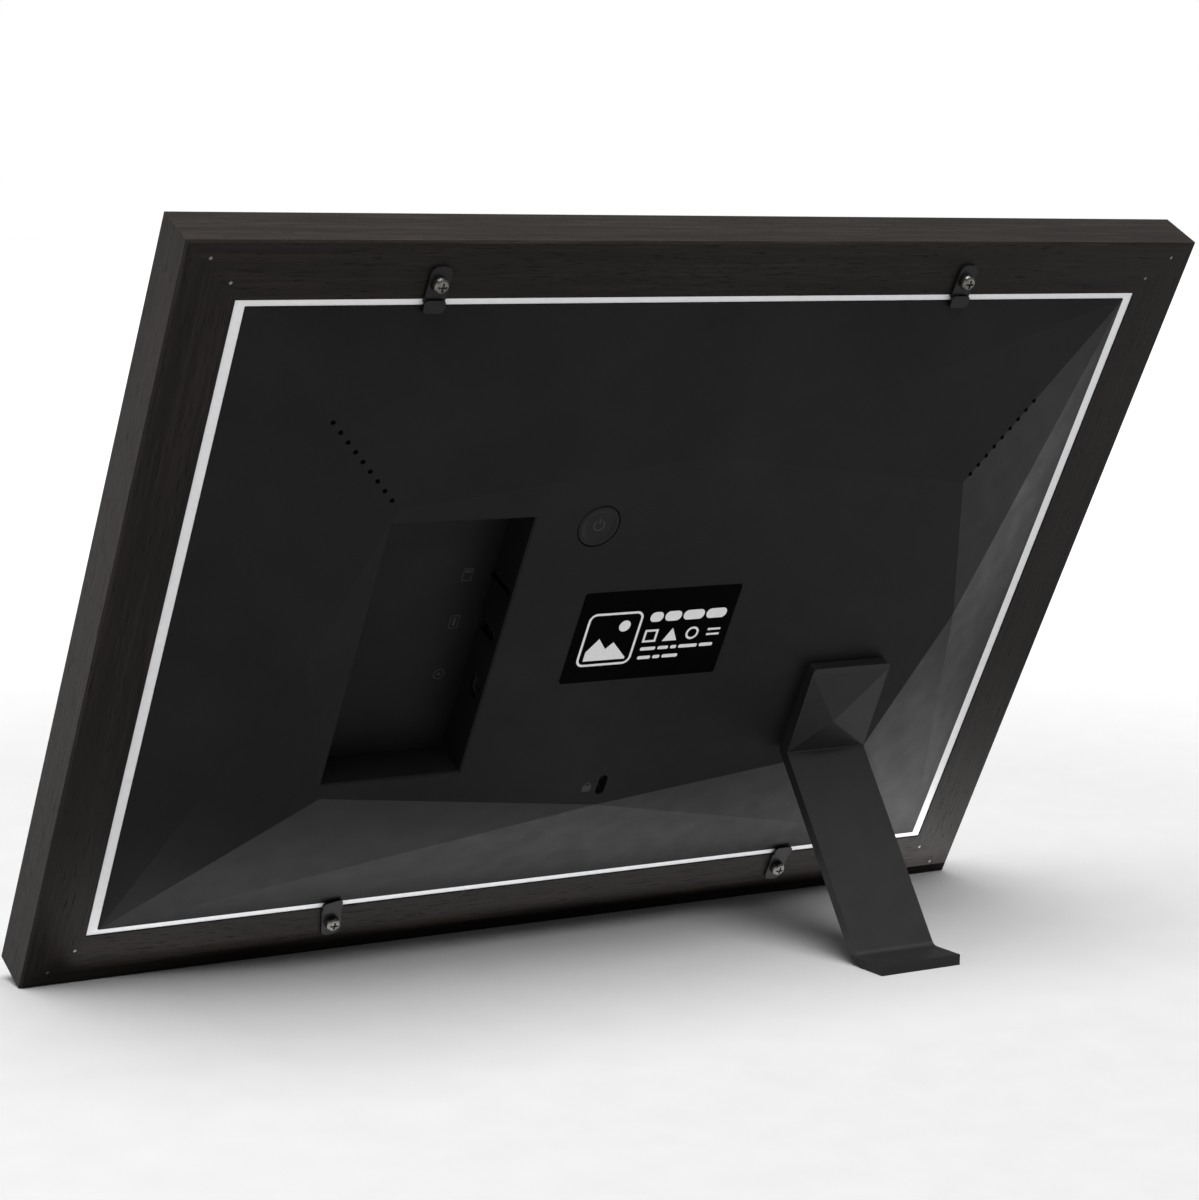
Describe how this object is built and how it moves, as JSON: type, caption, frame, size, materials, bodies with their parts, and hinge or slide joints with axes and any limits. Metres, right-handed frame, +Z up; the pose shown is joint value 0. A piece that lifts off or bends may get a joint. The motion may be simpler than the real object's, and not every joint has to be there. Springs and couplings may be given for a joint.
{
  "type": "digital photo frame",
  "caption": "Leaning digital photo frame with a dark wooden surround, white mat, faceted black back cover with a port pocket, turn clips and a bent-bar stand that turns for upright or wide use.",
  "frame": {"origin": "middle of the bounding box's footprint, on the floor that the frame's lower back edge and the stand's foot rest on", "axes": "+X to the right seen from the display side, +Y to the rear (the display faces -Y and leans back), +Z up"},
  "size_m": [0.33, 0.1222, 0.2203],
  "materials": {
    "espresso_wood": "satin dark stain over fine straight grain",
    "brad_steel": "dull",
    "clear_glass": "clear, polished",
    "white_mat": "matt, very fine texture",
    "display_glass": "dark, glossy, switched off",
    "bare_steel": "brushed",
    "zinc_screw": "bright zinc",
    "dark_screw": "darkened steel, satin",
    "amber_flex": "satin film",
    "black_cover": "fine moulded texture, matt",
    "black_label": null,
    "black_button": "satin",
    "dark_component": "matt",
    "green_board": "satin solder mask",
    "black_metal": "satin black",
    "black_stand": "fine satin texture"
  },
  "bodies": {
    "frame": {"frame_rail_top": "espresso_wood", "frame_rail_bottom": "espresso_wood", "frame_rail_left": "espresso_wood", "frame_rail_right": "espresso_wood", "corner_brads": "brad_steel", "front_glass": "clear_glass", "mat_frame": "white_mat", "lcd_panel": "display_glass", "backlight_unit": "bare_steel", "lcd_bracket": "bare_steel", "bracket_screws": "zinc_screw", "lcd_ribbon": "amber_flex", "back_cover": "black_cover", "rating_label": "black_label", "lock_plate": "bare_steel", "power_switch": "dark_component", "main_board": "green_board", "processor_chip": "dark_component", "processor_shield": "bare_steel", "board_chips": "dark_component", "board_screws": "zinc_screw", "micro_sd_socket": "bare_steel", "usb_port": "bare_steel", "power_jack": "dark_component", "wifi_antenna": "amber_flex", "speaker_left": "dark_component", "speaker_right": "dark_component", "clip_screws": "dark_screw"},
    "power_button": {"power_button": "black_button"},
    "stand": {"stand": "black_stand", "stand_washer": "bare_steel", "stand_screw": "zinc_screw"},
    "turn_clip_1": {"turn_clip_1": "black_metal"},
    "turn_clip_2": {"turn_clip_2": "black_metal"},
    "turn_clip_3": {"turn_clip_3": "black_metal"},
    "turn_clip_4": {"turn_clip_4": "black_metal"}
  },
  "joints": [
    {"name": "power_button_press", "type": "slide", "parent": "frame", "child": "power_button", "axis": [0, -0.891, 0.454], "range_m": [0, 0.0008], "stiffness_N_per_m": 500, "springref_m": -0.001},
    {"name": "turn_clip_1_turn", "type": "hinge", "parent": "frame", "child": "turn_clip_1", "pos_m": [0.0915, 0.05634, 0.20265], "axis": [0, 0.891, -0.454], "range_deg": [-90, 90]},
    {"name": "turn_clip_2_turn", "type": "hinge", "parent": "frame", "child": "turn_clip_2", "pos_m": [-0.0815, 0.05634, 0.20265], "axis": [0, 0.891, -0.454], "range_deg": [-90, 90]},
    {"name": "turn_clip_3_turn", "type": "hinge", "parent": "frame", "child": "turn_clip_3", "pos_m": [0.0695, -0.04172, 0.01019], "axis": [0, 0.891, -0.454], "range_deg": [-90, 90]},
    {"name": "turn_clip_4_turn", "type": "hinge", "parent": "frame", "child": "turn_clip_4", "pos_m": [-0.0915, -0.04172, 0.01019], "axis": [0, 0.891, -0.454], "range_deg": [-90, 90]},
    {"name": "stand_turn", "type": "hinge", "parent": "frame", "child": "stand", "pos_m": [-0.0757, 0.00723, 0.07324], "axis": [0, 0.891, -0.454], "range_deg": [0, 90]}
  ]
}
